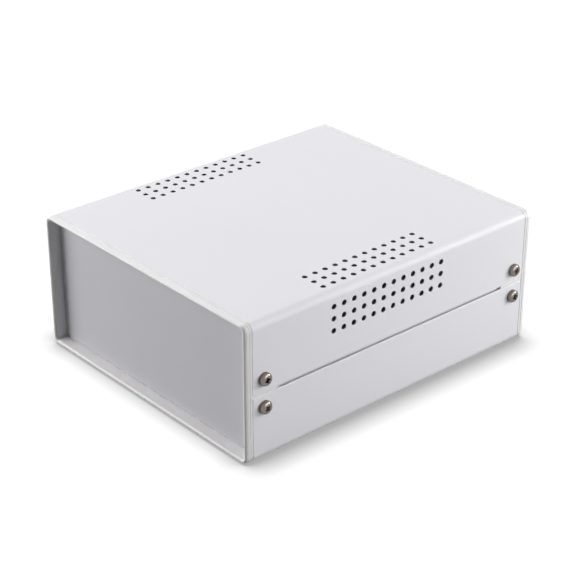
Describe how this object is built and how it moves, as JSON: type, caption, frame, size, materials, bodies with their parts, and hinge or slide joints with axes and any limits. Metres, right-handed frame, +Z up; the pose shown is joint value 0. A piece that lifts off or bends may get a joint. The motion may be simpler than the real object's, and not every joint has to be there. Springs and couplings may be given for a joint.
{
  "type": "instrument enclosure",
  "caption": "Desktop instrument enclosure with vented folded-steel covers screwed to moulded end frames, and flat panels set back at the front and rear.",
  "frame": {"origin": "centre of the base, on the surface that the case stands on", "axes": "+Z up; the front panel faces -Y and the rear panel +Y; +X is the right-hand side seen from the front"},
  "size_m": [0.1554, 0.18, 0.07],
  "materials": {
    "cover_paint": "fine smooth powder coat, light cool grey",
    "frame_plastic": "moulded plastic, light warm grey, satin",
    "panel_plastic": "smooth moulded plastic, light grey, satin",
    "screw_nickel": "dark nickel plate, warm grey and polished",
    "pillar_steel": "turned steel, zinc plated"
  },
  "bodies": {
    "root": {"top_cover": "cover_paint", "bottom_cover": "cover_paint", "front_frame": "frame_plastic", "rear_frame": "frame_plastic", "front_panel": "panel_plastic", "rear_panel": "panel_plastic", "top_screw_front_left": "screw_nickel", "top_screw_front_right": "screw_nickel", "top_screw_rear_left": "screw_nickel", "top_screw_rear_right": "screw_nickel", "bottom_screw_front_left": "screw_nickel", "bottom_screw_front_right": "screw_nickel", "bottom_screw_rear_left": "screw_nickel", "bottom_screw_rear_right": "screw_nickel", "front_panel_screw_1": "screw_nickel", "front_panel_screw_2": "screw_nickel", "front_panel_screw_3": "screw_nickel", "front_panel_screw_4": "screw_nickel", "rear_panel_screw_1": "screw_nickel", "rear_panel_screw_2": "screw_nickel", "rear_panel_screw_3": "screw_nickel", "rear_panel_screw_4": "screw_nickel", "board_pillar_1": "pillar_steel", "board_pillar_2": "pillar_steel", "board_pillar_3": "pillar_steel", "board_pillar_4": "pillar_steel"}
  },
  "joints": []
}
